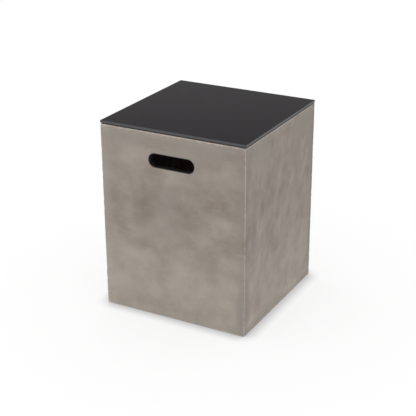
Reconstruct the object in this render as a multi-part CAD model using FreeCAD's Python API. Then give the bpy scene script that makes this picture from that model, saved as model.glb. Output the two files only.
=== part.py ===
import FreeCAD, Part
import math
import os

from FreeCAD import Vector

# A square cast-concrete cover for an upright propane tank, with a lift-off black glass top.
# Millimetres. X runs along the front, Y from the front to the back, Z up. The origin is the centre of the
# footprint, on the floor. The front and back walls have a hand slot each, the back wall a hose notch too.

# Overall size, with the feet screwed fully in
overall_width = 406.4
overall_depth = 406.4
overall_height = 508.0

# Glass top
glass_thickness = 6.0
glass_overhang = 0.5
glass_corner_radius = 2.5
glass_arris = 0.8

# Silicone pads between the body and the glass
pad_diameter = 20.0
pad_height = 2.0
pad_edge_radius = 0.6

# Cast body
wall_thickness = 14.0
post_width = 44.0
post_corner_radius = 8.0
rim_thickness = 18.0
cove_radius = 6.0
opening_corner_radius = 12.0
arris_radius = 2.0
edge_radius = 1.5

# Hand slots in the front and back walls
slot_length = 130.0
slot_height = 38.0
slot_centre_below_top = 80.0
slot_edge_radius = 0.6

# Liners of the hand slots and of the hose notch, each a sleeve with a lip behind the wall
slot_liner_wall = 2.0
slot_liner_recess = 0.7
notch_liner_wall = 2.5
liner_lip_width = 4.0
liner_lip_thickness = 2.0

# Notch for the gas hose, at the foot of the back wall
notch_width = 60.0
notch_height = 54.0

# Blocks under the glass that drop inside the rim
locator_leg_length = 36.0
locator_leg_width = 10.0
locator_depth = 12.0
locator_edge_radius = 1.0
locator_clearance = 2.0

# Levelling feet, one screwed into a pocket in the foot of each corner post
foot_inset = 25.0
foot_pocket_diameter = 30.0
ground_clearance = 1.0
base_diameter = 26.0
base_height = 5.0
base_chamfer = 0.7
base_floor = 1.4
flute_radius = 0.8
flute_count = 20
stud_diameter = 8.0
stud_thread_length = 20.0
stud_tip_chamfer = 0.8
head_diameter = 14.0
head_thickness = 2.0
hex_across_flats = 4.0
hex_depth = 3.0
key_hole_diameter = 6.0

# Threaded inserts that the studs screw into
insert_diameter = 13.0
insert_end_wall = 3.0
insert_flange_diameter = 17.0
insert_flange_thickness = 1.5
groove_depth = 0.8
groove_width = 2.0
groove_count = 3

# Clearances
bond_line = 0.1
thread_clearance = 0.05
swivel_clearance = 0.3
stud_end_room = 1.0

# Levels and half widths that follow from the sizes above
body_bottom = ground_clearance
pocket_top = base_height
glass_bottom = overall_height - glass_thickness
body_top = glass_bottom - pad_height
rim_bottom = body_top - rim_thickness
body_half_x = overall_width / 2 - glass_overhang
body_half_y = overall_depth / 2 - glass_overhang
inner_half_x = body_half_x - wall_thickness
inner_half_y = body_half_y - wall_thickness
post_x = body_half_x - post_width
post_y = body_half_y - post_width
slot_level = overall_height - slot_centre_below_top
insert_length = stud_thread_length + stud_end_room + insert_end_wall
TOUCH = 1e-4

# Each corner with the side of X and of Y that it lies on, and each slotted wall with its side of Y
corners = {"front_left": (-1, -1), "front_right": (1, -1), "back_left": (-1, 1), "back_right": (1, 1)}
slotted_walls = {"front": -1, "back": 1}


def in_plan(u, v, level):
    """A point in plan, at a height."""
    return Vector(u, v, level)


def in_elevation(u, v, depth):
    """A point in front elevation, at a place along Y."""
    return Vector(u, depth, v)


def outline(points, radius, place, level):
    """A closed wire through points in order, with rounded corners (one radius, or one for each)."""
    count = len(points)
    radii = radius if isinstance(radius, list) else [radius] * count
    arcs = []
    for i in range(count):
        corner = Vector(*points[i], 0)
        to_before = (Vector(*points[i - 1], 0) - corner).normalize()
        to_after = (Vector(*points[(i + 1) % count], 0) - corner).normalize()
        half_angle = to_before.getAngle(to_after) / 2
        reach = radii[i] / math.tan(half_angle)
        bulge = radii[i] / math.sin(half_angle) - radii[i]
        middle = corner + (to_before + to_after).normalize() * bulge
        arcs.append((corner + to_before * reach, middle, corner + to_after * reach))
    edges = []
    for i in range(count):
        here = [place(p.x, p.y, level) for p in arcs[i]]
        onward = place(arcs[(i + 1) % count][0].x, arcs[(i + 1) % count][0].y, level)
        if radii[i] > 0:
            edges.append(Part.Arc(*here).toShape())
        if here[2].distanceToPoint(onward) > TOUCH:
            edges.append(Part.LineSegment(here[2], onward).toShape())
    return Part.Wire(edges)


def upright_prism(points, radius, bottom, top):
    """A solid with this outline in plan, between two heights."""
    face = Part.Face(outline(points, radius, in_plan, bottom))
    return face.extrude(Vector(0, 0, top - bottom))


def level_prism(points, radius, start, end):
    """A solid with this outline in front elevation, between two places along Y."""
    face = Part.Face(outline(points, radius, in_elevation, start))
    return face.extrude(Vector(0, end - start, 0))


def rectangle(half_u, half_v, centre_v=0.0):
    """The corners of a rectangle about X or Z = 0."""
    low, high = centre_v - half_v, centre_v + half_v
    return [(-half_u, low), (half_u, low), (half_u, high), (-half_u, high)]


def disc(diameter, bottom, top, place=(0.0, 0.0)):
    """An upright cylinder between two heights."""
    return Part.makeCylinder(diameter / 2, top - bottom, Vector(*place, bottom))


def edges_at_height(shape, *levels):
    """The edges of a shape that lie wholly at one of these heights."""
    boxes = [(e, e.BoundBox) for e in shape.Edges]
    return [e for e, b in boxes for z in levels if abs(b.ZMin - z) < TOUCH and abs(b.ZMax - z) < TOUCH]


def edges_at_depth(shape, depth):
    """The edges of a shape that lie wholly at one place along Y."""
    boxes = [(e, e.BoundBox) for e in shape.Edges]
    return [e for e, b in boxes if abs(b.YMin - depth) < TOUCH and abs(b.YMax - depth) < TOUCH]


def foot_place(corner):
    """The axis of one corner's foot in plan."""
    side_x, side_y = corners[corner]
    return side_x * (body_half_x - foot_inset), side_y * (body_half_y - foot_inset)


def slot_solid(grow, start, end):
    """A hand slot's shape, with full round ends, grown on every side."""
    half_height = slot_height / 2 + grow
    points = rectangle(slot_length / 2 + grow, half_height, slot_level)
    return level_prism(points, half_height, start, end)


def notch_solid(grow, start, end):
    """The shape of the hose notch, open below and round at the crown, grown at its sides and crown."""
    half_width = notch_width / 2 + grow
    crown = body_bottom + notch_height + grow
    points = [(-half_width, body_bottom), (half_width, body_bottom),
              (half_width, crown), (-half_width, crown)]
    return level_prism(points, [0, 0, half_width, half_width], start, end)


def cavity_solid():
    """The space inside the walls and between the corner posts, with coves under the rim."""
    x, y = inner_half_x, inner_half_y
    points = [
        (-post_x, -y), (post_x, -y), (post_x, -post_y), (x, -post_y), (x, post_y), (post_x, post_y),
        (post_x, y), (-post_x, y), (-post_x, post_y), (-x, post_y), (-x, -post_y), (-post_x, -post_y),
    ]
    cavity = upright_prism(points, post_corner_radius, body_bottom, rim_bottom)
    return cavity.makeFillet(cove_radius, edges_at_height(cavity, rim_bottom))


def insert_envelope(corner, grow):
    """The outside of a threaded insert with its keying grooves, grown on every side that has concrete."""
    place = foot_place(corner)
    top = pocket_top + insert_length
    flange_top = pocket_top + insert_flange_thickness
    shape = disc(insert_diameter + 2 * grow, pocket_top, top + grow, place)
    pitch = (top - flange_top) / (groove_count + 1)
    for i in range(groove_count):
        middle = flange_top + (i + 1) * pitch
        low, high = middle - groove_width / 2 + grow, middle + groove_width / 2 - grow
        around = disc(insert_flange_diameter, low, high, place)
        shape = shape.cut(around.cut(disc(insert_diameter - 2 * groove_depth + 2 * grow, low, high, place)))
    flange = disc(insert_flange_diameter + 2 * grow, pocket_top, flange_top + grow, place)
    return shape.fuse(flange).removeSplitter()


def cast_body():
    """One casting, open below and above: four walls, a post in each corner and an inward rim."""
    body = upright_prism(rectangle(body_half_x, body_half_y), arris_radius, body_bottom, body_top)
    body = body.makeFillet(edge_radius, edges_at_height(body, body_bottom, body_top))
    body = body.cut(cavity_solid())
    body = body.cut(upright_prism(rectangle(post_x, post_y), opening_corner_radius, rim_bottom, body_top))
    body = body.makeFillet(edge_radius, [e for e in edges_at_height(body, body_top) if at_opening(e)])
    for side in slotted_walls.values():
        body = body.cut(slot_solid(0, side * inner_half_y, side * body_half_y))
        mouth = [e for e in edges_at_depth(body, side * body_half_y) if at_slot(e)]
        body = body.makeFillet(slot_edge_radius, mouth)
    body = body.cut(notch_solid(0, inner_half_y, body_half_y))
    for corner in corners:
        body = body.cut(disc(foot_pocket_diameter, body_bottom, pocket_top, foot_place(corner)))
        body = body.cut(insert_envelope(corner, bond_line))
    return body.removeSplitter()


def at_opening(edge):
    """Whether an edge lies at the rim's opening."""
    box = edge.BoundBox
    in_x = max(abs(box.XMin), abs(box.XMax)) < post_x + TOUCH
    return in_x and max(abs(box.YMin), abs(box.YMax)) < post_y + TOUCH


def at_slot(edge):
    """Whether an edge lies on a hand slot's outline."""
    box = edge.BoundBox
    level = (box.ZMin + box.ZMax) / 2
    reach = max(abs(box.XMin), abs(box.XMax))
    return abs(level - slot_level) < slot_height / 2 + TOUCH and reach < slot_length / 2 + TOUCH


def slot_liner(side):
    """A black moulded sleeve through a hand slot, set in a little, with a lip behind the wall."""
    front = side * (body_half_y - slot_liner_recess)
    wall = side * inner_half_y
    back = side * (inner_half_y - liner_lip_thickness)
    liner = slot_solid(-bond_line, front, wall).fuse(slot_solid(liner_lip_width, wall, back))
    return liner.cut(slot_solid(-slot_liner_wall, front, back)).removeSplitter()


def notch_liner():
    """A rubber sleeve round the hose notch, flush with the back face, with a lip behind the wall."""
    back = inner_half_y - liner_lip_thickness
    sleeve = notch_solid(-bond_line, inner_half_y, body_half_y)
    lip = notch_solid(liner_lip_width, back, inner_half_y)
    return sleeve.fuse(lip).cut(notch_solid(-notch_liner_wall, back, body_half_y)).removeSplitter()


def glass_top():
    """The glass plate, with small ground chamfers on its upper and lower edges."""
    half = rectangle(overall_width / 2, overall_depth / 2)
    plate = upright_prism(half, glass_corner_radius, glass_bottom, overall_height)
    return plate.makeChamfer(glass_arris, edges_at_height(plate, glass_bottom, overall_height))


def glass_pad(corner):
    """A silicone disc on top of a corner post."""
    pad = disc(pad_diameter, body_top, glass_bottom, foot_place(corner))
    return pad.makeFillet(pad_edge_radius, edges_at_height(pad, glass_bottom))


def glass_locator(corner):
    """An angled block bonded under the glass, just inside one corner of the rim's opening."""
    side_x, side_y = corners[corner]
    outer_x = post_x - locator_clearance
    outer_y = post_y - locator_clearance
    leg = locator_leg_length
    wide = locator_leg_width
    plan = [(0, 0), (-leg, 0), (-leg, -wide), (-wide, -wide), (-wide, -leg), (0, -leg)]
    points = [(side_x * (outer_x + u), side_y * (outer_y + v)) for u, v in plan]
    radii = [opening_corner_radius - locator_clearance] + [locator_edge_radius] * 5
    return upright_prism(points, radii, glass_bottom - locator_depth, glass_bottom)


def foot_insert(corner):
    """A threaded insert cast in above a foot pocket, closed at the top. Its thread is a plain bore."""
    bore_top = pocket_top + insert_length - insert_end_wall
    bore = disc(stud_diameter + 2 * thread_clearance, pocket_top, bore_top, foot_place(corner))
    return insert_envelope(corner, 0).cut(bore)


def foot_stud(corner):
    """A levelling stud with a flat round head and a hex socket in it. Its thread is a plain shank."""
    place = foot_place(corner)
    head = disc(head_diameter, base_floor, base_floor + head_thickness, place)
    tip = pocket_top + stud_thread_length
    shank = disc(stud_diameter, base_floor, tip, place)
    shank = shank.makeChamfer(stud_tip_chamfer, edges_at_height(shank, tip))
    corner_radius = hex_across_flats / 2 / math.cos(math.pi / 6)
    turns = [math.pi / 3 * i for i in range(6)]
    x, y = place
    points = [(x + corner_radius * math.cos(t), y + corner_radius * math.sin(t)) for t in turns]
    socket = upright_prism(points, 0, base_floor, base_floor + hex_depth)
    return head.fuse(shank).cut(socket).removeSplitter()


def foot_base(corner):
    """A low moulded base that swivels on a stud's head, with a fluted rim and a hole for the key."""
    place = foot_place(corner)
    base = disc(base_diameter, 0, base_height, place)
    base = base.makeChamfer(base_chamfer, edges_at_height(base, 0, base_height))
    room_top = base_floor + head_thickness + swivel_clearance
    base = base.cut(disc(head_diameter + 2 * swivel_clearance, base_floor, room_top, place))
    base = base.cut(disc(stud_diameter + 2 * swivel_clearance, room_top, base_height, place))
    base = base.cut(disc(key_hole_diameter, 0, base_floor, place))
    for i in range(flute_count):
        turn = 2 * math.pi * i / flute_count
        x = place[0] + base_diameter / 2 * math.cos(turn)
        y = place[1] + base_diameter / 2 * math.sin(turn)
        base = base.cut(disc(2 * flute_radius, 0, base_height, (x, y)))
    return base


def save(shape, node):
    """Writes one piece, after a test that it is one sound solid."""
    solids = shape.Solids
    print(f"{node}: {len(solids)} solid, valid {shape.isValid()}, {shape.Volume / 1000:.2f} cm3")
    solids[0].exportStep(f"parts/{node}.step")


def main():
    os.makedirs("parts", exist_ok=True)
    save(cast_body(), "cast_body")
    save(glass_top(), "glass_top")
    save(notch_liner(), "hose_notch_liner")
    for wall, side in slotted_walls.items():
        save(slot_liner(side), f"slot_liner_{wall}")
    for corner in corners:
        save(glass_pad(corner), f"glass_pad_{corner}")
        save(glass_locator(corner), f"glass_locator_{corner}")
        save(foot_insert(corner), f"foot_insert_{corner}")
        save(foot_stud(corner), f"foot_stud_{corner}")
        save(foot_base(corner), f"foot_base_{corner}")


main()
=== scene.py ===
"""Finishes and fine pieces of a cast-concrete tank cover table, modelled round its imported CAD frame."""
import contextlib
import functools
import math

import bmesh
import bpy
from mathutils import Matrix, Vector


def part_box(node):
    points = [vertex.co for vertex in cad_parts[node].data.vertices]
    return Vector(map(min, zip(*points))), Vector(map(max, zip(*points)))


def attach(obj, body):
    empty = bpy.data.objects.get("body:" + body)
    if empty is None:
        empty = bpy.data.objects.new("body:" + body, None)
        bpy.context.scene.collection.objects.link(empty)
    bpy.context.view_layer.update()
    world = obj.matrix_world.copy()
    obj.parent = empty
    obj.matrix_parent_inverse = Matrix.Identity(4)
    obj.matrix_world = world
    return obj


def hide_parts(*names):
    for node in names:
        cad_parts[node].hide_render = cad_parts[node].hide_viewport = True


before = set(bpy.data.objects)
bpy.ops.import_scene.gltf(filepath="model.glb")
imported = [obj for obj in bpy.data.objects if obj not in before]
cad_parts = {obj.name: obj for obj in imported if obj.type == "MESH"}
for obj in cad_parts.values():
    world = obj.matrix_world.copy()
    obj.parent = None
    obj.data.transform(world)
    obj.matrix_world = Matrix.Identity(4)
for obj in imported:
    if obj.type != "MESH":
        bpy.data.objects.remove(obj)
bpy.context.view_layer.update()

bl_info = {
    "name": "Concrete Tank Cover Table",
    "version": (1, 0, 0),
    "blender": (4, 5, 0),
    "location": "View3D > Sidebar > Cover Table",
    "description": "Adds the finishes, fine pieces and stage of a cast-concrete tank cover with a glass top",
    "category": "Add Mesh",
}

MM = 0.001
CORNERS = {"front_left": (-1, -1), "front_right": (1, -1), "back_left": (-1, 1), "back_right": (1, 1)}
WALLS = {"front": -1, "back": 1}


def linear(srgb):
    """Turns an sRGB hex colour into linear red, green, blue and alpha."""
    values = [int(srgb[i:i + 2], 16) / 255 for i in (1, 3, 5)]
    return (*[v / 12.92 if v <= 0.04045 else ((v + 0.055) / 1.055) ** 2.4 for v in values], 1.0)


def add_node(tree, kind, inputs=(), **settings):
    """Adds a node and sets its properties. Its inputs are named, or in the order of the sockets in use."""
    node = tree.nodes.new("ShaderNode" + kind)
    for name, value in settings.items():
        setattr(node, name, value)
    active = [socket for socket in node.inputs if socket.enabled]
    for place, value in inputs.items() if isinstance(inputs, dict) else enumerate(inputs):
        socket = node.inputs[place] if isinstance(place, str) else active[place]
        if isinstance(value, bpy.types.Node):
            value = next(output for output in value.outputs if output.enabled)
        if isinstance(value, bpy.types.NodeSocket):
            tree.links.new(value, socket)
        else:
            socket.default_value = value
    return node


def empty_tree(owner):
    """Clears the node tree of a material or a world, and gives the function that adds nodes to it."""
    owner.use_nodes = True
    owner.node_tree.nodes.clear()
    return functools.partial(add_node, owner.node_tree)


def new_material(name):
    """An empty material, the function that adds nodes to it, and a point's place in its object's space."""
    material = bpy.data.materials.new(name)
    add = empty_tree(material)
    return material, add, add("TexCoord").outputs["Object"]


def give_material(piece, material):
    """Puts a material in all the material slots of a piece."""
    if not piece.data.materials:
        piece.data.materials.append(material)
    for index in range(len(piece.material_slots)):
        piece.material_slots[index].material = material


def shared_material(maker, look):
    """The material that a function makes, made only once."""
    return bpy.data.materials.get(maker.__name__) or maker(look)


def finish_nodes(makers, look):
    """Gives the CAD nodes of some kinds, one at each corner, their materials."""
    for kind, maker in makers.items():
        for corner in CORNERS:
            give_material(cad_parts[f"{kind}_{corner}"], shared_material(maker, look))


def add_ramp(add, value, places, tones):
    """A value that follows another: it takes a tone at each place, and runs straight between them."""
    node = add("ValToRGB", (value,))
    elements = node.color_ramp.elements
    elements.remove(elements[1])
    for index, (place, tone) in enumerate(zip(places, tones)):
        element = elements.new(place) if index else elements[0]
        element.position = place
        element.color = (tone, tone, tone, 1.0)
    return node


def finish_surface(material, colour, roughness, height, **constants):
    """Makes a surface of a colour, a roughness, a height in millimetres, and constants for other sockets."""
    add = functools.partial(add_node, material.node_tree)
    bump = add("Bump", {"Height": height, "Strength": 1.0, "Distance": MM})
    inputs = {socket.replace("_", " "): value for socket, value in constants.items()}
    inputs.update({"Base Color": colour, "Roughness": roughness, "Normal": bump})
    add("OutputMaterial", {"Surface": add("BsdfPrincipled", inputs)})
    return material


# Places from the foot, at 0, up to the top, at 1, and how pale the concrete is there, from 0 to 1. Near the
# foot the paleness is painted light, for light bounced up from the floor
TONE_AND_BOUNCE_LIGHT_BY_HEIGHT = ((0.0, 0.055, 0.12, 0.18, 0.25, 0.42, 0.62, 0.8, 0.9, 0.95, 1.0),
                  (0.80, 0.74, 0.87, 0.90, 0.84, 0.56, 0.42, 0.50, 0.46, 0.34, 0.62))
# Places and what all the colours are multiplied by there, on all the sides: painted light, paler at the foot
# for light bounced up from the floor
PAINTED_LIGHT_ALL_SIDES = ((0.0, 0.04, 0.08, 0.95, 1.0), (1.2, 1.08, 1.0, 1.0, 1.05))
# And again on the wiped sides: painted light just above the foot, and painted shade, a little darker all over
# and darkest under the glass
PAINTED_LIGHT_AND_SHADE_SIDES = ((0.0, 0.02, 0.045, 0.08, 0.13, 0.975, 1.0), (0.98, 1.0, 1.1, 1.06, 0.955, 0.955, 0.81))


def cast_sealed_concrete(look):
    """Glass-fibre concrete cast in a smooth mould, rubbed down and sealed."""
    # Uneven curing leaves soft clouds 50 to 110 mm across, warm in some places and greyer in others. Rubbing
    # leaves the arrises paler, and a painted highlight adds to it; a trowel leaves faint short lines, and air
    # leaves pinholes about 1 mm wide, with painted shade in their bottoms.
    material, add, place = new_material("cast_sealed_concrete")
    low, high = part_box("cast_body")

    axes = add("SeparateXYZ", (place,))
    # How far a point is from the nearest arris: the second smallest of its distances from the six outer faces
    away = []
    for axis, half in (("X", high.x), ("Y", high.y)):
        size = add("Math", (axes.outputs[axis],), operation="ABSOLUTE")
        away.append(add("Math", (half, size), operation="SUBTRACT"))
    below_top = add("Math", (high.z, axes.outputs["Z"]), operation="SUBTRACT")
    above_foot = add("Math", (axes.outputs["Z"], low.z), operation="SUBTRACT")
    # The top's rubbed arris, with its painted highlight, is twice as wide as the corners', so distances from
    # it count half
    from_top = add("Math", (below_top, 0.5), operation="MULTIPLY")
    from_ends = add("Math", (from_top, above_foot), operation="MINIMUM")
    nearer = add("Math", (away[0], away[1]), operation="MINIMUM")
    farther = add("Math", (away[0], away[1]), operation="MAXIMUM")
    inner = add("Math", (farther, from_ends), operation="MINIMUM")
    from_arris = add("Math", (nearer, inner), operation="MAXIMUM")

    # Clouds in the concrete, slid to where they lie on this casting
    cured = add("Mapping", {"Vector": place, "Location": look.cloud_place})
    clouds = add("TexNoise", {
        "Vector": cured, "Scale": 1 / look.cloud_size, "Detail": 2.0, "Roughness": 0.45, "Distortion": 0.3})
    mottle = add("TexNoise", {"Vector": cured, "Scale": 1 / (50 * MM), "Detail": 7.0, "Roughness": 0.63})
    drift = add("TexNoise", {
        "Vector": cured, "Scale": 1 / (1.6 * look.cloud_size), "Detail": 2.0, "Roughness": 0.5})
    grain = add("TexNoise", {"Vector": place, "Scale": 1 / (1.4 * MM), "Detail": 3.0, "Roughness": 0.6})
    # The left and right sides were wiped down, which leaves streaks about 20 mm wide that lean to the back
    wiped_side = add("Math", (away[0], away[1]), operation="LESS_THAN")
    wipe = add("Mapping", {
        "Vector": place, "Rotation": (-0.33, 0.0, 0.0), "Scale": (90 * MM, 20 * MM, 65 * MM)},
        vector_type="TEXTURE")
    streaks = add("TexNoise", {"Vector": wipe, "Scale": 1.0, "Detail": 2.0})
    # Paler near the foot: painted light that stands in for light bounced up from the floor. The strip under
    # the glass is paler too
    height_share = add("Math", (axes.outputs["Z"], 1 / high.z), operation="MULTIPLY")
    tone = add_ramp(add, height_share, *TONE_AND_BOUNCE_LIGHT_BY_HEIGHT)
    for noise, share in ((clouds, 0.55), (mottle, 1.2), (streaks, 0.75)):
        about_zero = add("Math", (noise, 0.5), operation="SUBTRACT")
        tone = add("Math", (about_zero, share, tone), operation="MULTIPLY_ADD")
    body_colour = add("Mix", (tone, look.dark_colour, look.light_colour), data_type="RGBA")
    # Near the arrises the skin dried faster, and is greyer
    margin = add("MapRange", (from_arris, 4 * MM, 45 * MM, 0.26, 0.0), interpolation_type="SMOOTHSTEP")
    drifted = add("Math", (drift, margin), operation="ADD")
    cooling = add("MapRange", (drifted, 0.56, 0.78, 0.0, 0.7), interpolation_type="SMOOTHSTEP")
    tinted = add("Mix", (cooling, body_colour, look.cool_colour), data_type="RGBA")

    # Paler arrises: rubbed wear, and a painted highlight along them
    rubbing = add("TexNoise", {"Vector": place, "Scale": 1 / (12 * MM), "Detail": 4.0, "Roughness": 0.65})
    rub_width = add("MapRange", (rubbing, 0.35, 0.65, 1.2 * MM, 4.0 * MM))
    rubbed = add("MapRange", (from_arris, 0.4 * MM, rub_width, 0.95, 0.0), interpolation_type="SMOOTHSTEP")
    rubbed_and_highlit_colour = add("Mix", (rubbed, tinted, look.arris_colour), data_type="RGBA")

    # Faint trowel lines, up to 60 mm long and about 1.5 mm wide, in patches of the front and the back
    lay = add("Mapping", {
        "Vector": place, "Rotation": (0.1, 0.06, 0.0),
        "Scale": (1 / (60 * MM), 1 / (60 * MM), 1 / (2.5 * MM))})
    lines = add("TexNoise", {"Vector": lay, "Scale": 1.0, "Detail": 2.0})
    lined = add("MapRange", (lines, 0.58, 0.74, 0.0, 0.27))
    patches = add("MapRange", (drift, 0.55, 0.42))
    lined_patches = add("Math", (lined, patches), operation="MULTIPLY")
    troweled = add("Mix", (wiped_side, lined_patches, 0.0))
    lined_colour = add("Mix", (troweled, rubbed_and_highlit_colour, look.arris_colour), data_type="RGBA")

    # Pinholes, one in each cell of about 16 mm, of which one in three is open. Their bottoms get painted
    # shade
    cells = add("TexVoronoi", {"Vector": place, "Scale": 1 / (16 * MM)})
    chance = add("SeparateColor", (cells.outputs["Color"],))
    opened = add("Math", (chance, 0.66), operation="GREATER_THAN")
    hole = add("MapRange", (cells, 0.022, 0.04, 1.0, 0.0))
    pinhole = add("Math", (hole, opened), operation="MULTIPLY")
    shade = add("Math", (pinhole, 0.6), operation="MULTIPLY")
    colour = add("Mix", (shade, lined_colour, look.pinhole_colour), data_type="RGBA")
    # The casting is paler along its left arrises, and darker along its right arrises. Painted light makes it
    # paler at its foot, for light bounced up from the floor. Painted shade makes the wiped sides a little
    # darker, most of all under the glass, and darkens the outer arris in the gap where the glass overhangs
    # the rim.
    near_arris = add("MapRange", (farther, 2 * MM, 45 * MM, 1.0, 0.0), interpolation_type="SMOOTHSTEP")
    lean = add("MapRange", (axes.outputs["X"], low.x, high.x, 0.12, -0.12))
    # Painted light: paler at the foot, for light bounced up from the floor
    painted_foot_light = add_ramp(add, height_share, *PAINTED_LIGHT_ALL_SIDES)
    paled = add("Math", (near_arris, lean, painted_foot_light), operation="MULTIPLY_ADD")
    # On the wiped sides, painted light just above the foot and painted shade elsewhere, darkest under the
    # glass
    painted_side_light_and_shade = add("Mix", (wiped_side, 1.0, add_ramp(add, height_share, *PAINTED_LIGHT_AND_SHADE_SIDES)))
    wiped = add("Math", (painted_side_light_and_shade, paled), operation="MULTIPLY")
    # Painted shade in the gap under the overhanging glass, on the outer arris only
    under_glass_shade = add("MapRange", (below_top, 0.3 * MM, 1.8 * MM, 0.4))
    inside_edge = add("MapRange", (nearer, 2 * MM, 8 * MM, 0.4))
    painted_gap_shade = add("Math", (under_glass_shade, inside_edge), operation="MAXIMUM")
    shaded = add("Math", (wiped, painted_gap_shade), operation="MULTIPLY")
    speckle = add("MapRange", (grain, 0.3, 0.7, 0.95, 1.05))
    speckled_shade = add("Math", (speckle, shaded), operation="MULTIPLY")
    speckled = add("Mix", (1.0, colour, speckled_shade), data_type="RGBA", blend_type="MULTIPLY")

    roughness = add("MapRange", (clouds, 0.3, 0.7, 0.82, 0.66))
    grain_height = add("Math", (grain, 0.06), operation="MULTIPLY")
    cloud_height = add("Math", (clouds, 0.5, grain_height), operation="MULTIPLY_ADD")
    height = add("Math", (pinhole, -0.5, cloud_height), operation="MULTIPLY_ADD")
    return finish_surface(material, speckled, roughness, height)


def polished_black_glass(look):
    """Toughened black float glass: polished faces, and edges ground with a fine wheel."""
    # The faces mirror softly, with faint wiping marks. The edges are satin and grey, with fine lines.
    material, add, place = new_material("polished_black_glass")
    low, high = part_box("glass_top")
    axes = add("SeparateXYZ", (place,))
    across = [add("Math", (axes.outputs[axis],), operation="ABSOLUTE") for axis in "XY"]
    reach = add("Math", (across[0], across[1]), operation="MAXIMUM")
    edge = add("MapRange", (reach, high.x - 0.95 * MM, high.x - 0.75 * MM))
    wiping = add("TexNoise", {
        "Vector": place, "Scale": 1 / (90 * MM), "Detail": 5.0, "Roughness": 0.7, "Distortion": 1.5})
    wiped = add("MapRange", (wiping, 0.35, 0.7, 0.05, 0.14))
    grinding = add("Mapping", {"Vector": place, "Scale": (1 / (25 * MM), 1 / (25 * MM), 1 / (0.35 * MM))})
    ground_lines = add("TexNoise", {"Vector": grinding, "Scale": 1.0, "Detail": 3.0})
    ground_rough = add("MapRange", (ground_lines, 0.3, 0.7, 0.32, 0.5))
    roughness = add("Mix", (edge, wiped, ground_rough))
    # Painted shade darkens the lower arris, over the gap above the rim
    lower_arris_shade = add("MapRange", (axes.outputs["Z"], low.z + 0.3 * MM, low.z + 1.5 * MM, 0.4))
    pale_edge = add("Math", (edge, lower_arris_shade), operation="MULTIPLY")
    colour = add("Mix", (pale_edge, look.face_colour, look.edge_colour), data_type="RGBA")
    height = add("Math", (ground_lines, edge), operation="MULTIPLY")
    fine_height = add("Math", (height, 0.02), operation="MULTIPLY")
    return finish_surface(material, colour, roughness, fine_height, IOR=1.5,
                          Specular_Tint=(1.0, 0.93, 0.98, 1.0))


def moulded_abs(look):
    """Black ABS, injection moulded in a spark-eroded tool."""
    # The tool leaves an even, matt texture of about 0.4 mm, a little glossier where it is handled.
    material, add, place = new_material("moulded_abs")
    eroded = add("TexVoronoi", {"Vector": place, "Scale": 1 / (0.4 * MM)}, feature="SMOOTH_F1")
    handled = add("TexNoise", {"Vector": place, "Scale": 1 / (18 * MM), "Detail": 4.0})
    roughness = add("MapRange", (handled, 0.35, 0.65, 0.42, 0.58))
    colour = add("Mix", (handled, look.abs_colour, look.abs_worn_colour), data_type="RGBA")
    height = add("Math", (eroded, 0.03), operation="MULTIPLY")
    return finish_surface(material, colour, roughness, height, IOR=1.54)


def moulded_epdm_rubber(look):
    """Black EPDM rubber, compression moulded."""
    # It is dull, and a pale bloom of wax and dust clouds it in patches about 10 mm across.
    material, add, place = new_material("moulded_epdm_rubber")
    bloom = add("TexNoise", {"Vector": place, "Scale": 1 / (10 * MM), "Detail": 6.0, "Roughness": 0.7})
    skin = add("TexNoise", {"Vector": place, "Scale": 1 / (0.6 * MM), "Detail": 2.0})
    bloomed = add("MapRange", (bloom, 0.5, 0.72, 0.0, 0.6))
    colour = add("Mix", (bloomed, look.rubber_colour, look.bloom_colour), data_type="RGBA")
    roughness = add("MapRange", (bloom, 0.3, 0.7, 0.62, 0.85))
    height = add("Math", (skin, 0.05), operation="MULTIPLY")
    return finish_surface(material, colour, roughness, height, IOR=1.52)


def cast_silicone(look):
    """Black silicone, cast in small discs."""
    # It is smooth and waxy, and dust sticks to it in specks.
    material, add, place = new_material("cast_silicone")
    dust = add("TexNoise", {"Vector": place, "Scale": 1 / (1.2 * MM), "Detail": 3.0, "Roughness": 0.7})
    dusty = add("MapRange", (dust, 0.62, 0.72, 0.0, 0.5))
    colour = add("Mix", (dusty, look.silicone_colour, look.bloom_colour), data_type="RGBA")
    roughness = add("MapRange", (dust, 0.3, 0.7, 0.38, 0.55))
    height = add("Math", (dust, 0.02), operation="MULTIPLY")
    return finish_surface(material, colour, roughness, height, IOR=1.41)


def moulded_nylon(look):
    """Black glass-filled nylon, injection moulded."""
    # Short glass fibres near the skin leave grey flecks and a slightly rough feel, and the rim scuffs paler.
    material, add, place = new_material("moulded_nylon")
    flow = add("Mapping", {"Vector": place, "Scale": (1 / (2.0 * MM), 1 / (0.5 * MM), 1 / (0.5 * MM))})
    fibres = add("TexNoise", {"Vector": flow, "Scale": 1.0, "Detail": 2.0})
    scuffs = add("TexNoise", {"Vector": place, "Scale": 1 / (5 * MM), "Detail": 5.0, "Roughness": 0.7})
    flecked = add("MapRange", (fibres, 0.55, 0.75, 0.0, 0.35))
    flecks = add("Mix", (flecked, look.nylon_colour, look.fibre_colour), data_type="RGBA")
    scuffed = add("MapRange", (scuffs, 0.56, 0.7, 0.0, 0.4))
    colour = add("Mix", (scuffed, flecks, look.fibre_colour), data_type="RGBA")
    roughness = add("MapRange", (scuffs, 0.3, 0.7, 0.42, 0.66))
    height = add("Math", (fibres, 0.04), operation="MULTIPLY")
    return finish_surface(material, colour, roughness, height, IOR=1.53)


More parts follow.
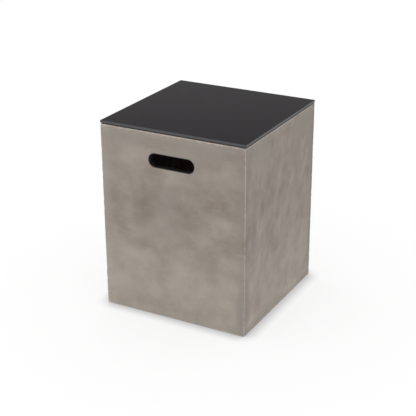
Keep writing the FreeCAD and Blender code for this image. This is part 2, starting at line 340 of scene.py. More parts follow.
def zinc_plated_steel(look):
    """Steel, thread-rolled and headed, with bright zinc plate and a clear passivate."""
    # The passivate drifts between blue-grey and straw over a few millimetres, over a fine satin grain.
    material, add, place = new_material("zinc_plated_steel")
    drift = add("TexNoise", {"Vector": place, "Scale": 1 / (6 * MM), "Detail": 3.0, "Distortion": 0.8})
    grain = add("TexNoise", {"Vector": place, "Scale": 1 / (0.25 * MM), "Detail": 3.0, "Roughness": 0.7})
    colour = add("Mix", (drift, look.zinc_colour, look.passivate_colour), data_type="RGBA")
    roughness = add("MapRange", (grain, 0.3, 0.7, 0.24, 0.4))
    height = add("Math", (grain, 0.012), operation="MULTIPLY")
    return finish_surface(material, colour, roughness, height, Metallic=1.0)


def turned_brass(look):
    """Free-cutting brass, turned on a lathe."""
    # The tool leaves rings 0.3 mm apart round each insert's axis, and handling dulls it in patches.
    material, add, place = new_material("turned_brass")
    low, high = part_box("foot_insert_back_right")
    axis = (low + high) / 2
    # The four axes are mirror images, so one set of rings about |x| and |y| fits all four inserts
    mirrored = add("VectorMath", (place,), operation="ABSOLUTE")
    from_axis = add("VectorMath", (mirrored, (axis.x, axis.y, 0.0)), operation="SUBTRACT")
    flat = add("VectorMath", (from_axis, (1.0, 1.0, 0.0)), operation="MULTIPLY")
    radius = add("VectorMath", (flat,), operation="LENGTH")
    turns = add("Math", (radius, 2 * math.pi / (0.3 * MM)), operation="MULTIPLY")
    rings = add("Math", (turns,), operation="SINE")
    tarnish = add("TexNoise", {"Vector": place, "Scale": 1 / (5 * MM), "Detail": 4.0, "Roughness": 0.6})
    colour = add("Mix", (tarnish, look.brass_colour, look.tarnish_colour), data_type="RGBA")
    roughness = add("MapRange", (tarnish, 0.3, 0.7, 0.2, 0.42))
    height = add("Math", (rings, 0.006), operation="MULTIPLY")
    return finish_surface(material, colour, roughness, height, Metallic=1.0)


# Lengths closer than this, in metres, count as equal
CLOSE = 1e-5
# Faces and edges smaller than this, in metres, are left over from cutting
SLIVER = 1e-6
# Faces that meet at less than this shade as one surface
SMOOTH_BELOW = math.radians(30.0)
# How many sides the slots, half the hose notch, the threads and the studs' heads are drawn with
SLOT_SIDES, CROWN_SIDES, THREAD_SIDES, HEAD_SIDES = 72, 40, 36, 72
# Shares of the pitch: the depth of a metric thread, and how much thinner the plain neck is than the thread
THREAD_DEPTH, NECK_DEPTH = 0.6134, 0.68


def activate(piece):
    """Makes a piece the active one, and the only one selected."""
    bpy.ops.object.select_all(action="DESELECT")
    piece.select_set(True)
    bpy.context.view_layer.objects.active = piece


def select_mesh(action="SELECT"):
    """Selects the whole mesh, or deselects it, in edit mode."""
    bpy.ops.mesh.select_all(action=action)


@contextlib.contextmanager
def editing(piece):
    """Edit mode on one piece alone, with nothing in it selected."""
    activate(piece)
    bpy.ops.object.mode_set(mode="EDIT")
    select_mesh("DESELECT")
    yield piece
    bpy.ops.object.mode_set(mode="OBJECT")


def extrude(*move):
    """Extrudes what is selected along x, y and z, in edit mode."""
    bpy.ops.mesh.extrude_region_move(TRANSFORM_OT_translate={"value": move})


def pick(piece, kind, test):
    """Selects only the vertices, edges or faces that pass a test, in edit mode."""
    bpy.ops.mesh.select_mode(type=kind)
    select_mesh("DESELECT")
    mesh = bmesh.from_edit_mesh(piece.data)
    for element in {"VERT": mesh.verts, "EDGE": mesh.edges, "FACE": mesh.faces}[kind]:
        element.select_set(bool(test(element)))
    mesh.select_flush_mode()
    bmesh.update_edit_mesh(piece.data)


def weld(gap, fill=False):
    """Merges points closer than a gap, fills holes if asked, and turns all faces outwards, in edit mode."""
    select_mesh()
    bpy.ops.mesh.remove_doubles(threshold=gap)
    if fill:
        bpy.ops.mesh.fill_holes(sides=0)
    bpy.ops.mesh.normals_make_consistent(inside=False)


def bevel_edges(piece, test, offset, segments, **settings):
    """Bevels the edges of a piece that pass a test."""
    with editing(piece):
        pick(piece, "EDGE", test)
        bpy.ops.mesh.bevel(offset=offset, segments=segments, **settings)


def is_upright(edge):
    """Whether an edge runs straight up."""
    run = edge.verts[1].co - edge.verts[0].co
    return abs(run.x) < CLOSE and abs(run.y) < CLOSE


def is_at_level(edge, level):
    """Whether an edge lies at one height."""
    return all(abs(vertex.co.z - level) < CLOSE for vertex in edge.verts)


def is_beside_wall(edge):
    """Whether an edge bounds an upright face."""
    return len(edge.link_faces) == 2 and any(abs(face.normal.z) < 0.5 for face in edge.link_faces)


def apply_modifiers(piece):
    """Applies all the modifiers of a piece, in order."""
    activate(piece)
    for modifier in list(piece.modifiers):
        bpy.ops.object.modifier_apply(modifier=modifier.name)


def combine(piece, other, operation):
    """Cuts one piece with another, or joins them, and removes the other."""
    modifier = piece.modifiers.new("combine", "BOOLEAN")
    modifier.operation = operation
    modifier.solver = "EXACT"
    modifier.object = other
    apply_modifiers(piece)
    bpy.data.objects.remove(other)


def add_primitive(name, operator, scale=(1.0, 1.0, 1.0), **settings):
    """Adds a primitive by its operator, scales it, and puts its place into its mesh."""
    bpy.ops.object.select_all(action="DESELECT")
    operator(**settings)
    piece = bpy.context.object
    piece.name = name
    # A plane's operator ignores a scale, so the object is given it
    piece.scale = scale
    bpy.ops.object.transform_apply()
    return piece


def add_block(name, low, high):
    """A block between two corners."""
    low, high = Vector(low), Vector(high)
    return add_primitive(
        name, bpy.ops.mesh.primitive_cube_add, size=1.0, location=(low + high) / 2, scale=high - low)


def add_rod(name, centre, radius, bottom, top, sides=64):
    """An upright rod about a centre in plan, between two heights."""
    return add_primitive(
        name, bpy.ops.mesh.primitive_cylinder_add, vertices=sides, radius=radius, depth=top - bottom,
        location=(centre.x, centre.y, (bottom + top) / 2))


def add_drum(name, height, radius, ends, sides):
    """A round cutter at a height, lying along y between two ends."""
    near, far = sorted(ends)
    return add_primitive(
        name, bpy.ops.mesh.primitive_cylinder_add, vertices=sides, radius=radius, depth=far - near,
        location=(0.0, (near + far) / 2, height), rotation=(math.pi / 2, 0.0, 0.0))


def finish_piece(piece, body, material, node):
    """Cleans and shades a piece, gives it its material, and puts it on its body in place of a CAD node."""
    with editing(piece):
        # Cutting leaves a few faces with no area where two edges cross
        select_mesh()
        bpy.ops.mesh.remove_doubles(threshold=SLIVER)
        bpy.ops.mesh.dissolve_degenerate(threshold=SLIVER)
    bpy.ops.object.shade_smooth_by_angle(angle=SMOOTH_BELOW)
    modifier = piece.modifiers.new("flat_faces_stay_flat", "WEIGHTED_NORMAL")
    modifier.keep_sharp = True
    apply_modifiers(piece)
    give_material(piece, material)
    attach(piece, body)
    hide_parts(node)


def add_section(name, centre, side, radii, depths, sizes):
    """The section of a liner as a wire: a sleeve between two radii, with a lip out to a third radius."""
    inner, outer, lip = radii
    front, wall, back = (side * depth for depth in depths)
    section = add_primitive(
        name, bpy.ops.mesh.primitive_plane_add, size=1.0, scale=(outer - inner, abs(wall - front), 1.0),
        location=(0.0, (front + wall) / 2, centre.z + (inner + outer) / 2), rotation=(0.0, math.pi / 2, 0.0))
    with editing(section):
        pick(section, "EDGE", lambda e: all(abs(v.co.y - wall) < CLOSE for v in e.verts))
        extrude(0.0, back - wall, 0.0)
        pick(section, "EDGE", lambda e: all(
            abs(v.co.z - centre.z - outer) < CLOSE and (v.co.y - wall) * side < CLOSE for v in e.verts))
        extrude(0.0, 0.0, lip - outer)
        select_mesh()
        bpy.ops.mesh.normals_make_consistent(inside=False)
        pick(section, "EDGE", lambda e: not e.is_boundary)
        bpy.ops.mesh.dissolve_edges(use_verts=False)
        select_mesh()
        bpy.ops.mesh.bevel(offset=sizes.lip_radius, segments=3, affect="VERTICES")
        select_mesh()
        bpy.ops.mesh.delete(type="ONLY_FACE")
    return section


def stretch_sideways(piece, reach):
    """Moves the right half of a round piece to the right and the left half to the left."""
    for side in (-1, 1):
        pick(piece, "VERT", lambda v: v.co.x * side > 0)
        bpy.ops.transform.translate(value=(side * reach, 0.0, 0.0))


def hand_slot_liner(wall, sizes):
    """A sleeve through one hand slot, with a rounded nose and a lip behind the wall."""
    name = f"slot_liner_{wall}"
    low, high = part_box(name)
    centre = (low + high) / 2
    lip = (high.z - low.z) / 2
    outer = lip - sizes.lip_width - sizes.bond_line
    nose, back = max(abs(low.y), abs(high.y)), min(abs(low.y), abs(high.y))
    inner = outer - sizes.slot_liner_wall + sizes.bond_line
    liner = add_section(f"moulded_{name}", centre, WALLS[wall], (inner, outer, lip),
                        (nose, back + sizes.lip_thickness, back), sizes)
    with editing(liner):
        select_mesh()
        # Half a step puts no point on the middle line, where the two ends are parted
        bpy.ops.transform.rotate(value=math.pi / SLOT_SIDES, orient_axis="Y", center_override=centre)
        bpy.ops.mesh.spin(steps=SLOT_SIDES, angle=2 * math.pi, center=centre, axis=(0.0, 1.0, 0.0),
                          use_auto_merge=True)
        stretch_sideways(liner, (high.x - low.x) / 2 - lip)
        weld(0.01 * MM)
    return liner


def notch_liner(sizes):
    """A sleeve over the hose notch, round at the crown, with straight legs down to the foot of the wall."""
    low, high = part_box("hose_notch_liner")
    lip = (high.x - low.x) / 2
    outer = lip - sizes.lip_width - sizes.bond_line
    centre = Vector((0.0, high.y, high.z - lip))
    inner = outer - sizes.notch_liner_wall + sizes.bond_line
    liner = add_section("moulded_notch_liner", centre, 1, (inner, outer, lip),
                        (high.y, low.y + sizes.lip_thickness, low.y), sizes)
    with editing(liner):
        select_mesh()
        bpy.ops.transform.rotate(value=math.pi / 2, orient_axis="Y", center_override=centre)
        bpy.ops.mesh.spin(steps=CROWN_SIDES, angle=-math.pi, center=centre, axis=(0.0, 1.0, 0.0))
        pick(liner, "EDGE", lambda e: is_at_level(e, centre.z))
        extrude(0.0, 0.0, low.z - centre.z)
        weld(0.01 * MM, fill=True)
    return liner


def edge_distance(point, low, high):
    """How far a point is from the nearest arris of a box, for a point on the box."""
    gaps = sorted(min(point[i] - low[i], high[i] - point[i]) for i in range(3))
    return gaps[1]


def cloud_texture(name, size, contrast=1.0, brightness=1.0):
    """A cloudy texture for displacing a mesh, with clouds of one size in metres."""
    texture = bpy.data.textures.new(name, "CLOUDS")
    texture.noise_scale = size
    texture.noise_depth = 2
    texture.contrast = contrast
    texture.intensity = brightness
    texture.use_clamp = True
    return texture


def displace(piece, texture, depth, group):
    """Sinks the vertices of one group by up to a depth, less where the texture is light."""
    modifier = piece.modifiers.new(texture.name, "DISPLACE")
    modifier.texture = texture
    modifier.texture_coords = "LOCAL"
    modifier.strength = depth
    modifier.mid_level = 1.0
    modifier.vertex_group = group
    apply_modifiers(piece)


def rough_block(sizes):
    """The outside of the casting: flat sides that bow a little, and rubbed, chipped arrises."""
    low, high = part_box("cast_body")
    block = add_block("concrete_body", low, high)
    with editing(block):
        select_mesh()
        bpy.ops.mesh.subdivide(number_cuts=60)
        pick(block, "FACE", lambda f: edge_distance(f.calc_center_median(), low, high) < sizes.chip_reach)
        bpy.ops.mesh.subdivide(number_cuts=2)
        bpy.ops.mesh.select_mode(type="EDGE")
        select_mesh("DESELECT")
        bpy.ops.mesh.edges_select_sharp(sharpness=math.radians(45.0))
        bpy.ops.mesh.bevel(offset=sizes.arris_radius, segments=3)
    sides, arrises = [], []
    for vertex in block.data.vertices:
        if low.z + CLOSE < vertex.co.z < high.z - CLOSE:
            near = edge_distance(vertex.co, low, high) < sizes.arris_radius + CLOSE
            (arrises if near else sides).append(vertex.index)
    block.vertex_groups.new(name="sides").add(sides, 1.0, "REPLACE")
    block.vertex_groups.new(name="arrises").add(arrises, 1.0, "REPLACE")
    displace(block, cloud_texture("bow", 0.14), sizes.bow, "sides")
    displace(block, cloud_texture("chips", 0.009, contrast=4.0, brightness=1.55), sizes.chip_depth, "arrises")
    return block


def cavity_cutter(sizes):
    """The space inside the casting: between the walls and posts, and up through the rim."""
    low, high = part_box("cast_body")
    rim_bottom = high.z - sizes.rim
    post = high.x - sizes.post_width
    cavity = add_block("cavity", (-post, -post, low.z - sizes.overshoot), (post, post, rim_bottom))
    with editing(cavity):
        pick(cavity, "FACE", lambda f: abs(f.normal.z) < 0.5)
        bpy.ops.mesh.extrude_faces_move(TRANSFORM_OT_shrink_fatten={"value": sizes.post_width - sizes.wall})
    bevel_edges(cavity, is_upright, sizes.post_corner_radius, 6)
    bevel_edges(cavity, lambda e: is_at_level(e, rim_bottom) and is_beside_wall(e), sizes.cove_radius, 5)
    opening = add_block("opening", (-post, -post, rim_bottom - sizes.rim),
                        (post, post, high.z + sizes.overshoot))
    bevel_edges(opening, is_upright, sizes.opening_corner_radius, 8)
    combine(cavity, opening, "UNION")
    return cavity


def slot_cutter(wall, sizes):
    """The shape of one hand slot, with a rounded mouth at the outer face."""
    low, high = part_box(f"slot_liner_{wall}")
    centre = (low + high) / 2
    lip = (high.z - low.z) / 2
    radius = lip - sizes.lip_width
    side = WALLS[wall]
    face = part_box("cast_body")[1].y - sizes.mouth_radius
    inside = min(abs(low.y), abs(high.y)) - sizes.overshoot
    cutter = add_drum("slot_cutter", centre.z, radius, (side * face, side * inside), SLOT_SIDES)
    centre.y = 0.0
    with editing(cutter):
        select_mesh()
        bpy.ops.transform.rotate(value=math.pi / SLOT_SIDES, orient_axis="Y", center_override=centre)
        pick(cutter, "FACE", lambda f: f.normal.y * side > 0.5)
        turned, grown = 0.0, radius
        for turn in (math.radians(30), math.radians(60), math.radians(90)):
            out = sizes.mouth_radius * math.sin(turn)
            wide = radius + sizes.mouth_radius * (1 - math.cos(turn))
            extrude(0.0, side * (out - turned), 0.0)
            bpy.ops.transform.resize(value=(wide / grown, 1.0, wide / grown), center_override=centre)
            turned, grown = out, wide
        extrude(0.0, side * sizes.overshoot, 0.0)
        stretch_sideways(cutter, (high.x - low.x) / 2 - lip)
    return cutter


def notch_cutter(sizes):
    """The shape of the hose notch, round at the crown and open below."""
    low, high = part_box("hose_notch_liner")
    radius = (high.x - low.x) / 2 - sizes.lip_width
    crown = high.z - (high.x - low.x) / 2
    cutter = add_drum("notch_cutter", crown, radius, (low.y - sizes.overshoot, high.y + sizes.overshoot),
                      2 * CROWN_SIDES)
    with editing(cutter):
        pick(cutter, "VERT", lambda v: v.co.z < crown - CLOSE)
        bpy.ops.transform.translate(value=(0.0, 0.0, -crown - sizes.overshoot))
    return cutter


def foot_cutter(corner, sizes):
    """The room for one foot: a pocket for the base, and the hole that the insert fills."""
    low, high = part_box(f"foot_insert_{corner}")
    axis = (low + high) / 2
    flange = (high.x - low.x) / 2 + sizes.bond_line
    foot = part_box("cast_body")[0].z - sizes.overshoot
    cutter = add_rod("pocket", axis, sizes.pocket_radius, foot, low.z)
    for radius, top in ((flange, low.z + sizes.flange), (sizes.insert_radius, high.z)):
        combine(cutter, add_rod("insert_hole", axis, radius, foot, top + sizes.bond_line), "UNION")
    return cutter


def concrete_body(sizes):
    """The whole casting, cut out of the rough block in one go."""
    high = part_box("cast_body")[1]
    post = high.x - sizes.post_width
    body = rough_block(sizes)
    cutter = cavity_cutter(sizes)
    for other in (*[slot_cutter(wall, sizes) for wall in WALLS], notch_cutter(sizes),
                  *[foot_cutter(corner, sizes) for corner in CORNERS]):
        combine(cutter, other, "UNION")
    combine(body, cutter, "DIFFERENCE")
    bevel_edges(body, lambda e: is_at_level(e, high.z) and is_beside_wall(e) and all(
        max(abs(v.co.x), abs(v.co.y)) < post + CLOSE for v in e.verts), sizes.rim_edge_radius, 3)
    return body


def glass_plate(sizes):
    """The glass plate, with rounded corners and ground edges that are a little soft."""
    low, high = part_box("glass_top")
    plate = add_block("glass_plate", low, high)
    bevel_edges(plate, is_upright, sizes.glass_corner_radius, 8)
    bevel_edges(plate, lambda e: not is_upright(e), sizes.glass_arris, 1, offset_type="WIDTH")
    modifier = plate.modifiers.new("soft_edges", "BEVEL")
    modifier.width = sizes.glass_softening
    modifier.segments = 2
    modifier.limit_method = "ANGLE"
    modifier.angle_limit = math.radians(25.0)
    apply_modifiers(plate)
    return plate


def metric_thread(sizes, bottom, top):
    """A rod cut with a right-handed metric thread, about the origin."""
    crest = sizes.stud_radius
    root = crest - THREAD_DEPTH * sizes.pitch
    # A turn holds two flats' width at the root, a flank, one flat at the crest, and the other flank
    flat, flank = sizes.pitch / 8, sizes.pitch * 5 / 16
    thread = add_primitive(
        "thread", bpy.ops.mesh.primitive_plane_add, size=1.0, rotation=(math.pi / 2, 0.0, 0.0))
    with editing(thread):
        pick(thread, "VERT", lambda v: v.co.z > 0)
        bpy.ops.mesh.delete(type="VERT")
        start = bottom - 2 * sizes.pitch
        select_mesh()
        bpy.ops.mesh.merge(type="CENTER")
        bpy.ops.transform.translate(value=(root, 0.0, start + 0.5))
        for outward, upward in ((0.0, 2 * flat), (crest - root, flank), (0.0, flat), (root - crest, flank)):
            extrude(outward, 0.0, upward)
    modifier = thread.modifiers.new("helix", "SCREW")
    modifier.screw_offset = sizes.pitch
    modifier.iterations = math.ceil((top - bottom) / sizes.pitch) + 4
    modifier.steps = modifier.render_steps = THREAD_SIDES
    modifier.use_merge_vertices = True
    modifier.merge_threshold = 0.005 * MM
    apply_modifiers(thread)
    with editing(thread):
        for level, above in ((bottom, False), (top, True)):
            select_mesh()
            bpy.ops.mesh.bisect(plane_co=(0.0, 0.0, level), plane_no=(0.0, 0.0, 1.0), use_fill=True,
                                clear_inner=not above, clear_outer=above, threshold=1e-7)
        weld(0.002 * MM)
    return thread


def levelling_stud(sizes):
    """One stud, standing on the origin: a threaded shank with a turned head and a hex socket."""
    low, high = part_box("foot_stud_front_left")
    top = high.z - low.z
    neck = sizes.head_thickness + sizes.neck_length
    centre = Vector((0.0, 0.0, 0.0))
    stud = metric_thread(sizes, neck, top)
    point = add_rod("point", centre, sizes.stud_radius + sizes.pitch / 4, neck - sizes.pitch, top)
    bevel_edges(point, lambda e: is_at_level(e, top), sizes.point_chamfer, 1)
    combine(stud, point, "INTERSECT")
    neck_radius = sizes.stud_radius - NECK_DEPTH * sizes.pitch
    shank = add_rod("shank", centre, neck_radius, sizes.head_thickness / 2, neck + sizes.pitch)
    head = add_rod("head", centre, (high.x - low.x) / 2, 0.0, sizes.head_thickness, sides=HEAD_SIDES)
    bevel_edges(head, lambda e: not is_upright(e), sizes.head_edge_radius, 3)
    combine(head, shank, "UNION")
    combine(stud, head, "UNION")
    corner_radius = sizes.key_width / math.sqrt(3)
    socket = add_rod("socket", centre, corner_radius, -sizes.key_depth, sizes.key_depth, sides=6)
    with editing(socket):
        # The drill leaves a cone at the socket's end, drawn in here nearly to a point
        pick(socket, "FACE", lambda f: f.normal.z > 0.5)
        extrude(0.0, 0.0, sizes.key_width / 4)
        bpy.ops.transform.resize(value=(0.05, 0.05, 1.0), center_override=centre)
    combine(stud, socket, "DIFFERENCE")
    return stud


def copy_to(piece, name, place):
    """A copy of a piece with its own mesh, moved to a place."""
    copy = piece.copy()
    copy.data = piece.data.copy()
    copy.name = name
    bpy.context.collection.objects.link(copy)
    copy.location = place
    activate(copy)
    bpy.ops.object.transform_apply()
    return copy


def levelling_studs(sizes):
    """A stud at each foot."""
    pattern = levelling_stud(sizes)
    studs = {}
    for corner in CORNERS:
        low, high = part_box(f"foot_stud_{corner}")
        place = ((low.x + high.x) / 2, (low.y + high.y) / 2, low.z)
        studs[corner] = copy_to(pattern, f"threaded_stud_{corner}", place)
    bpy.data.objects.remove(pattern)
    return studs


def length_setting(name, description, millimetres):
    """A length that shows in the scene's own unit."""
    return bpy.props.FloatProperty(
        name=name, description=description, default=millimetres * MM, subtype="DISTANCE", unit="LENGTH")


def place_setting(name, description, *millimetres):
    """A place, or a move, along x, y and z."""
    return bpy.props.FloatVectorProperty(
        name=name, description=description, default=[length * MM for length in millimetres],
        subtype="TRANSLATION", unit="LENGTH", precision=4)


def angle_setting(name, description, degrees):
    """An angle that shows in degrees."""
    return bpy.props.FloatProperty(
        name=name, description=description, default=math.radians(degrees), subtype="ANGLE", unit="ROTATION")


def colour_setting(name, description, srgb):
    """A colour given as an sRGB hex value."""
    return bpy.props.FloatVectorProperty(
        name=name, description=description, default=linear(srgb), subtype="COLOR", size=4)


class PieceSizes(bpy.types.PropertyGroup):
    """Sizes that the boxes of the CAD nodes don't give."""
    wall: length_setting("Wall", "Thickness of the walls", 14.0)
    post_width: length_setting("Posts", "Width of the corner posts", 44.0)
    post_corner_radius: length_setting("Post corners", "Rounding of the posts and inner corners", 8.0)
    rim: length_setting("Rim", "Thickness of the rim", 18.0)
    rim_edge_radius: length_setting("Rim edge", "Rounding of the rim's upper edge", 1.5)
    cove_radius: length_setting("Coves", "Rounding under the rim", 6.0)
    opening_corner_radius: length_setting("Opening corners", "Rounding of the rim's opening", 12.0)
    arris_radius: length_setting("Arrises", "Rounding of the outer arrises", 1.8)
    mouth_radius: length_setting("Slot mouths", "Rounding of the slots' outer edges", 0.6)
    bow: length_setting("Bow", "How far the sides bow in", 0.4)
    chip_depth: length_setting("Chips", "Depth of the deepest chips in the arrises", 0.9)
    chip_reach: length_setting("Chip reach", "Width of the finely divided strip along the arrises", 8.0)
    pocket_radius: length_setting("Foot pockets", "Radius of the pockets for the feet", 15.0)
    insert_radius: length_setting("Inserts", "Radius of the holes for the inserts", 6.6)
    flange: length_setting("Insert flanges", "Thickness of the inserts' flanges", 1.5)
    slot_liner_wall: length_setting("Slot liner wall", "Thickness of the slot liners", 2.0)
    notch_liner_wall: length_setting("Notch liner wall", "Thickness of the hose notch's liner", 2.5)
    lip_width: length_setting("Lip width", "Width of the liners' lips", 4.0)
    lip_thickness: length_setting("Lip thickness", "Thickness of the liners' lips", 2.0)
    lip_radius: length_setting("Lip edges", "Rounding of the liners' edges", 0.55)
    bond_line: length_setting("Bond line", "Thickness of the adhesive round liners and inserts", 0.1)
    stud_radius: length_setting("Stud radius", "Outer radius of the studs' thread", 4.0)
    pitch: length_setting("Pitch", "Pitch of the studs' thread", 1.25)
    head_thickness: length_setting("Stud head", "Thickness of the studs' heads", 2.0)
    head_edge_radius: length_setting("Head edges", "Rounding of the studs' heads", 0.35)
    neck_length: length_setting("Stud neck", "Plain length between a stud's head and its thread", 1.6)
    point_chamfer: length_setting("Point", "Chamfer of the studs' points", 1.0625)
    key_width: length_setting("Key width", "Width of the hex sockets across flats", 4.0)
    key_depth: length_setting("Key depth", "Depth of the hex sockets", 3.0)
    glass_corner_radius: length_setting("Glass corners", "Rounding of the glass plate's corners", 2.5)
    glass_arris: length_setting("Glass arris", "Depth of the ground arrises", 0.8)
    glass_softening: length_setting("Glass softening", "Rounding of the ground arrises' own edges", 0.12)
    overshoot: length_setting("Overshoot", "How far a cutter runs past what it cuts", 6.0)


class ConcreteLook(bpy.types.PropertyGroup):
    """Colours and clouds of the cast body."""
    light_colour: colour_setting("Light clouds", "Colour of the paler clouds", "#aca298")
    dark_colour: colour_setting("Dark clouds", "Colour of the darker clouds", "#82776e")
    cool_colour: colour_setting("Grey margins", "Colour where the skin dried fast", "#979087")
    # Rubbed wear and a painted highlight along the arrises, and the trowel lines
    arris_colour: colour_setting("Rubbed arrises", "Colour of the rubbed arrises and trowel lines", "#c6bab0")
    # Painted shade in the bottom of a pinhole
    pinhole_colour: colour_setting("Pinholes", "Colour in the bottom of a pinhole", "#5d554d")
    cloud_place: place_setting("Cloud place", "How far the clouds are slid", -800.0, -310.0, -470.0)
    cloud_size: length_setting("Cloud size", "Distance between clouds", 110.0)


class GlassLook(bpy.types.PropertyGroup):
    """Colours of the glass top."""
    face_colour: colour_setting("Face", "Colour of the polished faces", "#171216")
    edge_colour: colour_setting("Ground edge", "Colour of the ground edges", "#47484a")


class FittingsLook(bpy.types.PropertyGroup):
    """Colours of the small fittings."""
    abs_colour: colour_setting("ABS", "Colour of the moulded ABS", "#1c1c1d")
    abs_worn_colour: colour_setting("Handled ABS", "Colour of ABS where it is handled", "#1f1f20")
    rubber_colour: colour_setting("Rubber", "Colour of the rubber", "#161616")
    bloom_colour: colour_setting("Bloom", "Colour of wax bloom and dust on rubber", "#3a3937")
    silicone_colour: colour_setting("Silicone", "Colour of the silicone pads", "#1a1a1b")
    nylon_colour: colour_setting("Nylon", "Colour of the moulded nylon", "#18181a")
    fibre_colour: colour_setting("Fibres", "Colour of glass fibres and scuffs in the nylon", "#4a4a4b")
    zinc_colour: colour_setting("Zinc", "Colour of the zinc plate", "#c3c7cb")
    passivate_colour: colour_setting("Passivate", "Tint of the clear passivate", "#cfc8b4")
    brass_colour: colour_setting("Brass", "Colour of bright brass", "#d9b56a")
    tarnish_colour: colour_setting("Tarnish", "Colour of dulled brass", "#a5854a")


class StageLook(bpy.types.PropertyGroup):
    """Camera, floor and light."""
    azimuth: angle_setting("Azimuth", "Camera's turn to the right of the front", 28.47)
    elevation: angle_setting("Elevation", "Camera's height above the level", 22.86)
    roll: angle_setting("Roll", "Camera's turn about its own axis", -0.26)
    distance: length_setting("Distance", "From the camera to what it looks at", 2816.0)
    target: place_setting("Target", "The point that the camera looks at", -8.3, 0.0, 233.9)
    lens: bpy.props.FloatProperty(
        name="Lens", description="Focal length, in millimetres, for a 36 mm wide frame", default=91.67,
        subtype="DISTANCE_CAMERA")
    floor_colour: colour_setting("Floor", "Colour of the floor", "#f7f7f7")


class COVERTABLE_OT_cast_body(bpy.types.Operator):
    """Finish the cast concrete body"""
    bl_idname = "covertable.cast_body"
    bl_label = "Cast Body"

    def execute(self, context):
        body = concrete_body(context.scene.covertable_sizes)
        material = cast_sealed_concrete(context.scene.covertable_concrete)
        finish_piece(body, "cover", material, "cast_body")
        return {"FINISHED"}


class COVERTABLE_OT_glass_top(bpy.types.Operator):
    """Finish the glass top"""
    bl_idname = "covertable.glass_top"
    bl_label = "Glass Top"

    def execute(self, context):
        plate = glass_plate(context.scene.covertable_sizes)
        material = polished_black_glass(context.scene.covertable_glass)
        finish_piece(plate, "lift_off_top", material, "glass_top")
        return {"FINISHED"}


class COVERTABLE_OT_hand_slots(bpy.types.Operator):
    """Line the two hand slots"""
    bl_idname = "covertable.hand_slots"
    bl_label = "Hand Slots"

    def execute(self, context):
        material = shared_material(moulded_abs, context.scene.covertable_fittings)
        for wall in WALLS:
            liner = hand_slot_liner(wall, context.scene.covertable_sizes)
            finish_piece(liner, "cover", material, f"slot_liner_{wall}")
        return {"FINISHED"}


class COVERTABLE_OT_hose_notch(bpy.types.Operator):
    """Line the hose notch"""
    bl_idname = "covertable.hose_notch"
    bl_label = "Hose Notch"

    def execute(self, context):
        material = shared_material(moulded_epdm_rubber, context.scene.covertable_fittings)
        liner = notch_liner(context.scene.covertable_sizes)
        finish_piece(liner, "cover", material, "hose_notch_liner")
        return {"FINISHED"}


class COVERTABLE_OT_glass_supports(bpy.types.Operator):
    """Finish the pads and locating blocks under the glass"""
    bl_idname = "covertable.glass_supports"
    bl_label = "Glass Supports"

    def execute(self, context):
        look = context.scene.covertable_fittings
        finish_nodes({"glass_pad": cast_silicone, "glass_locator": moulded_abs}, look)
        return {"FINISHED"}


class COVERTABLE_OT_feet(bpy.types.Operator):
    """Thread the levelling studs, and finish their inserts and bases"""
    bl_idname = "covertable.feet"
    bl_label = "Feet"

    def execute(self, context):
        look = context.scene.covertable_fittings
        material = shared_material(zinc_plated_steel, look)
        for corner, stud in levelling_studs(context.scene.covertable_sizes).items():
            finish_piece(stud, f"stud_{corner}", material, f"foot_stud_{corner}")
        finish_nodes({"foot_insert": turned_brass, "foot_base": moulded_nylon}, look)
        return {"FINISHED"}


def camera_matrix(look):
    """Where the camera stands and how it is turned."""
    turn, lift = look.azimuth, look.elevation
    back = Vector((math.sin(turn) * math.cos(lift), -math.cos(turn) * math.cos(lift), math.sin(lift)))
    right = Vector((math.cos(turn), math.sin(turn), 0.0))
    upright = Matrix((right, back.cross(right), back)).transposed().to_4x4()
    matrix = upright @ Matrix.Rotation(look.roll, 4, "Z")
    matrix.translation = Vector(look.target) + back * look.distance
    return matrix


def floor_material(look):
    """A plain white studio floor, which keeps the shadow and runs out to pure white."""
    material, add, place = new_material("painted_studio_floor")
    path = add("LightPath")
    seen = add("Math", (path.outputs["Is Camera Ray"], path.outputs["Is Glossy Ray"]), operation="MAXIMUM")
    seen_at_all = add("Math", (seen, path.outputs["Is Transmission Ray"]), operation="MAXIMUM")
    # Under the cover it is only as light as the notch and the slots let it be
    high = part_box("cast_body")[1]
    mirrored = add("VectorMath", (place,), operation="ABSOLUTE")
    across = add("SeparateXYZ", (mirrored,))
    reach = add("Math", (across.outputs["X"], across.outputs["Y"]), operation="MAXIMUM")
    outside = add("MapRange", (reach, high.x - 60 * MM, high.x, 0.0, 0.75), interpolation_type="SMOOTHSTEP")
    seen_outside = add("Math", (seen_at_all, outside), operation="MULTIPLY")
    # A faint glow under the cover, and a stronger one in its corners, show its inside and its feet
    corner = add("Math", (across.outputs["X"], across.outputs["Y"]), operation="MINIMUM")
    glow = add("MapRange", (corner, high.x - 70 * MM, high.x - 50 * MM, 0.02, 0.8))
    covered = add("MapRange", (reach, high.x - 8 * MM, high.x, 1.0, 0.0))
    inside = add("Math", (glow, covered), operation="MULTIPLY")
    share = add("Math", (seen_outside, inside), operation="MAXIMUM")
    paint = add("BsdfDiffuse", {"Color": look.floor_colour})
    # A painted contact shadow: ambient occlusion round the foot of the object darkens the white by half, and
    # runs out in 40 mm
    painted_contact_shadow = add("AmbientOcclusion", {"Distance": 38 * MM}, samples=16)
    white = add("Emission", {"Color": (1.0, 1.0, 1.0, 1.0), "Strength": painted_contact_shadow.outputs["AO"]})
    lit = add("MixShader", (share, paint, white))
    # The floor is clear from beneath, so that a view from below shows the feet
    under = add("NewGeometry").outputs["Backfacing"]
    clear = add("BsdfTransparent", {"Color": (1.0, 1.0, 1.0, 1.0)})
    both = add("MixShader", (under, lit, clear))
    add("OutputMaterial", {"Surface": both})
    return material


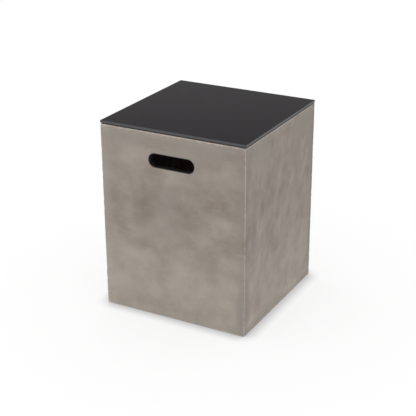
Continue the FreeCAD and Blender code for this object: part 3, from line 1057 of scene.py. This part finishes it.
# How bright the studio's walls and ceiling are, from the horizon at 0 up to straight overhead at 1
SKY_BRIGHTEST = 1.5
SKY_BY_HEIGHT = ((0.10, 0.25, 0.30, 0.345, 0.39, 0.46, 0.68),
                 [light / SKY_BRIGHTEST for light in (1.0, 0.235, 0.20, 0.155, 0.11, 0.11, SKY_BRIGHTEST)])


def studio_world():
    """Plain white to the camera. Its light is white at the horizon, grey above that, and bright overhead."""
    world = bpy.data.worlds.new("studio")
    add = empty_tree(world)
    direction = add("SeparateXYZ", (add("TexCoord").outputs["Generated"],))
    # The room is lighter to the left
    side = add("MapRange", (direction.outputs["X"], -1.0, 1.0, 1.13 * SKY_BRIGHTEST, 0.87 * SKY_BRIGHTEST))
    by_height = add_ramp(add, direction.outputs["Z"], *SKY_BY_HEIGHT)
    shared = add("Math", (by_height, side), operation="MULTIPLY")
    seen = add("LightPath").outputs["Is Camera Ray"]
    strength = add("Mix", (seen, shared, 1.0))
    light = add("Background", {"Color": (1.0, 1.0, 1.0, 1.0), "Strength": strength})
    add("OutputWorld", {"Surface": light})
    return world


def add_softbox(name, place, size, power):
    """A square softbox that faces the middle of the object."""
    bpy.ops.object.light_add(type="AREA", location=place)
    lamp = bpy.context.object
    lamp.name = name
    lamp.data.shape = "SQUARE"
    lamp.data.size = size
    lamp.data.energy = power
    lamp.rotation_euler = (Vector((0.0, 0.0, 0.25)) - Vector(place)).to_track_quat("-Z", "Y").to_euler()
    return lamp


class COVERTABLE_OT_stage(bpy.types.Operator):
    """Add the floor, the light and the camera"""
    bl_idname = "covertable.stage"
    bl_label = "Stage"

    def execute(self, context):
        look = context.scene.covertable_stage
        bpy.ops.mesh.primitive_plane_add(size=60.0, location=(0.0, 0.0, -0.05 * MM))
        floor = context.object
        floor.name = "studio_floor"
        give_material(floor, floor_material(look))
        context.scene.world = studio_world()
        add_softbox("left_softbox", (-2.2, -2.6, 2.0), 1.8, 2.0)
        bpy.ops.object.camera_add()
        camera = context.object
        camera.name = "photo_camera"
        camera.matrix_world = camera_matrix(look)
        camera.data.lens = look.lens
        camera.data.sensor_width = 36.0
        camera.data.clip_end = 100.0
        context.scene.camera = camera
        context.scene.view_settings.view_transform = "Standard"
        return {"FINISHED"}


class COVERTABLE_PT_panel(bpy.types.Panel):
    """Lists the pieces of the cover table in the order that they are made"""
    bl_idname = "COVERTABLE_PT_panel"
    bl_label = "Cover Table"
    bl_space_type = "VIEW_3D"
    bl_region_type = "UI"
    bl_category = "Cover Table"

    def draw(self, context):
        for operator in OPERATORS:
            self.layout.operator(operator.bl_idname)


OPERATORS = (
    COVERTABLE_OT_cast_body, COVERTABLE_OT_glass_top, COVERTABLE_OT_hand_slots, COVERTABLE_OT_hose_notch,
    COVERTABLE_OT_glass_supports, COVERTABLE_OT_feet, COVERTABLE_OT_stage)
LOOKS = {"covertable_sizes": PieceSizes, "covertable_concrete": ConcreteLook, "covertable_glass": GlassLook,
         "covertable_fittings": FittingsLook, "covertable_stage": StageLook}


def register():
    for kind in (*LOOKS.values(), *OPERATORS, COVERTABLE_PT_panel):
        bpy.utils.register_class(kind)
    for name, kind in LOOKS.items():
        setattr(bpy.types.Scene, name, bpy.props.PointerProperty(type=kind))


def unregister():
    for name in LOOKS:
        delattr(bpy.types.Scene, name)
    for kind in (COVERTABLE_PT_panel, *reversed(OPERATORS), *reversed(LOOKS.values())):
        bpy.utils.unregister_class(kind)


def main():
    register()
    bpy.ops.covertable.cast_body()
    bpy.ops.covertable.glass_top()
    bpy.ops.covertable.hand_slots()
    bpy.ops.covertable.hose_notch()
    bpy.ops.covertable.glass_supports()
    bpy.ops.covertable.feet()
    bpy.ops.covertable.stage()


if __name__ == "__main__":
    main()
